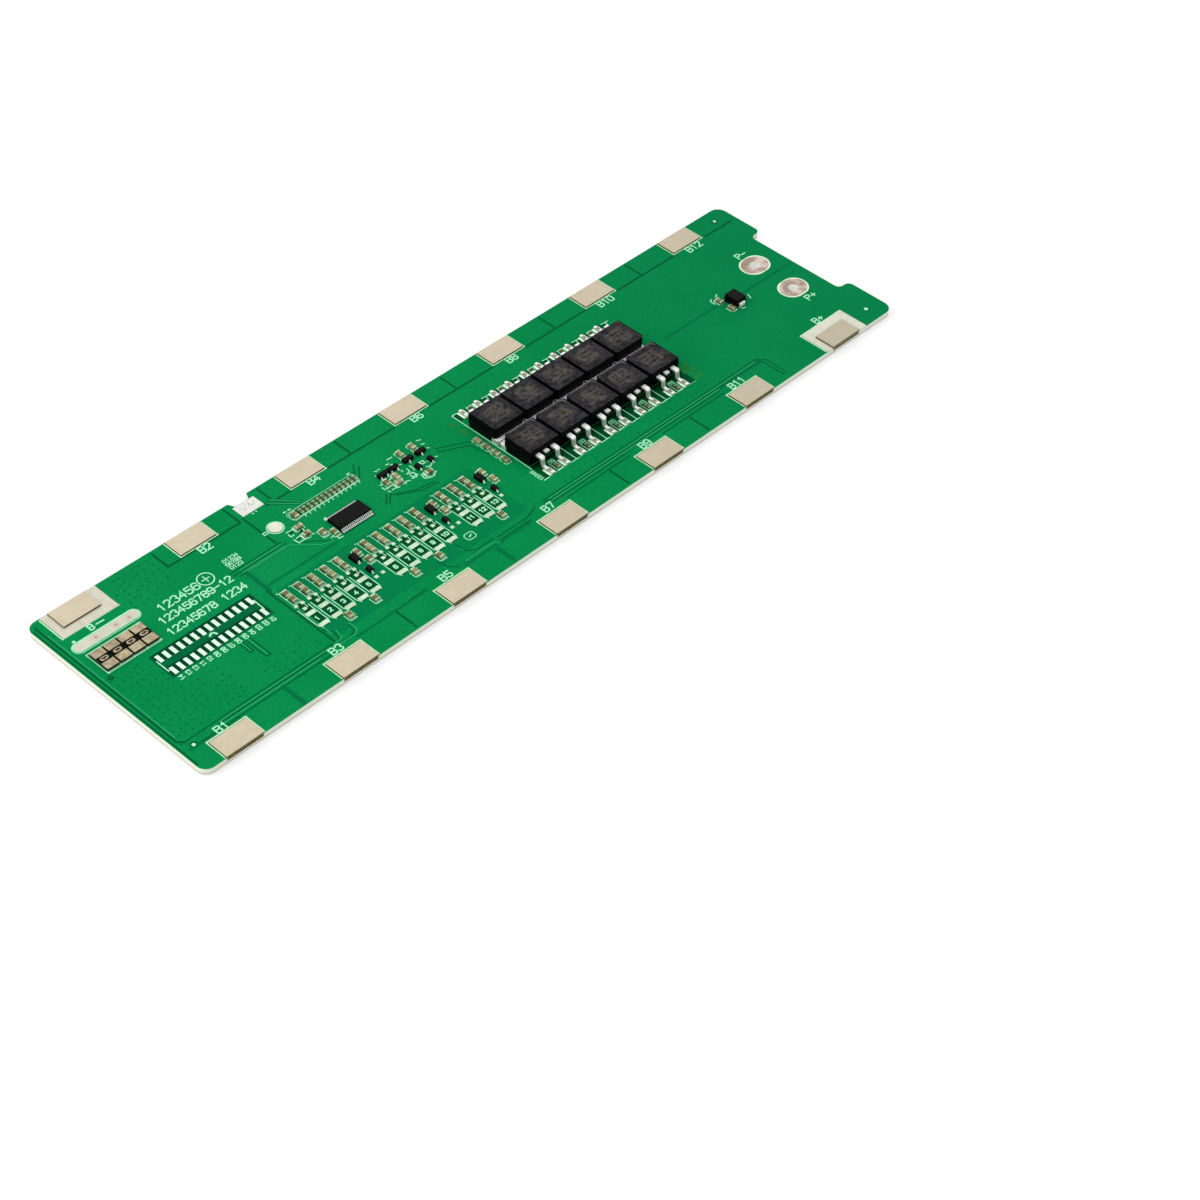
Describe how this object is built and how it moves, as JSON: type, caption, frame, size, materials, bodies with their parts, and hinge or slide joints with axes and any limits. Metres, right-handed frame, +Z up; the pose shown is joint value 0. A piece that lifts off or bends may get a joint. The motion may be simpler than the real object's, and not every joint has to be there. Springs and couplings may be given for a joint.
{
  "type": "battery management board",
  "caption": "Long green circuit board with nickel weld tabs along both edges, power transistors, current shunts, a monitor chip and plated pack terminals.",
  "frame": {"origin": "centre of the board's underside", "axes": "+X along the board from the negative tab to the pack terminals, +Y across it towards the row of even-numbered tabs, +Z up from the populated face"},
  "size_m": [0.23, 0.06, 0.006],
  "materials": {
    "solder_mask": "glossy green solder mask on glass-fibre laminate",
    "tinned_copper": "levelled tin, satin",
    "nickel": "bright rolled nickel",
    "shunt_alloy": "tinned alloy, satin",
    "black_coating": "fired black coating",
    "black_moulding": "moulding compound, matt",
    "plated_leads": "tin plate, satin",
    "ceramic": "fired ceramic"
  },
  "bodies": {
    "root": {"circuit_board": "solder_mask", "tinned_field_b_minus": "tinned_copper", "tinned_field_b_plus": "tinned_copper", "tab_b_minus": "nickel", "tab_b1": "nickel", "tab_b2": "nickel", "tab_b3": "nickel", "tab_b4": "nickel", "tab_b5": "nickel", "tab_b6": "nickel", "tab_b7": "nickel", "tab_b8": "nickel", "tab_b9": "nickel", "tab_b10": "nickel", "tab_b11": "nickel", "tab_b12": "nickel", "tab_b_plus": "nickel", "terminal_p_minus": "tinned_copper", "terminal_p_plus": "tinned_copper", "solder_bar": "tinned_copper", "test_land": "tinned_copper", "shunt_1": "shunt_alloy", "shunt_2": "shunt_alloy", "shunt_3": "shunt_alloy", "shunt_4": "shunt_alloy", "shunt_coatings": "black_coating", "power_body_1": "black_moulding", "power_body_2": "black_moulding", "power_body_3": "black_moulding", "power_body_4": "black_moulding", "power_body_5": "black_moulding", "power_body_6": "black_moulding", "power_body_7": "black_moulding", "power_body_8": "black_moulding", "power_body_9": "black_moulding", "power_body_10": "black_moulding", "power_leads_1": "plated_leads", "power_leads_2": "plated_leads", "power_leads_3": "plated_leads", "power_leads_4": "plated_leads", "power_leads_5": "plated_leads", "power_leads_6": "plated_leads", "power_leads_7": "plated_leads", "power_leads_8": "plated_leads", "power_leads_9": "plated_leads", "power_leads_10": "plated_leads", "monitor_body": "black_moulding", "monitor_leads": "plated_leads", "connector_pads": "tinned_copper", "channel_pads": "tinned_copper", "chip_bodies": "ceramic", "chip_ends": "plated_leads", "sense_chip_bodies": "ceramic", "sense_chip_ends": "plated_leads", "transistor_bodies": "black_moulding", "transistor_leads": "plated_leads", "zener_bodies": "black_moulding", "zener_leads": "plated_leads", "diode_body": "black_moulding", "diode_terminals": "plated_leads"}
  },
  "joints": []
}
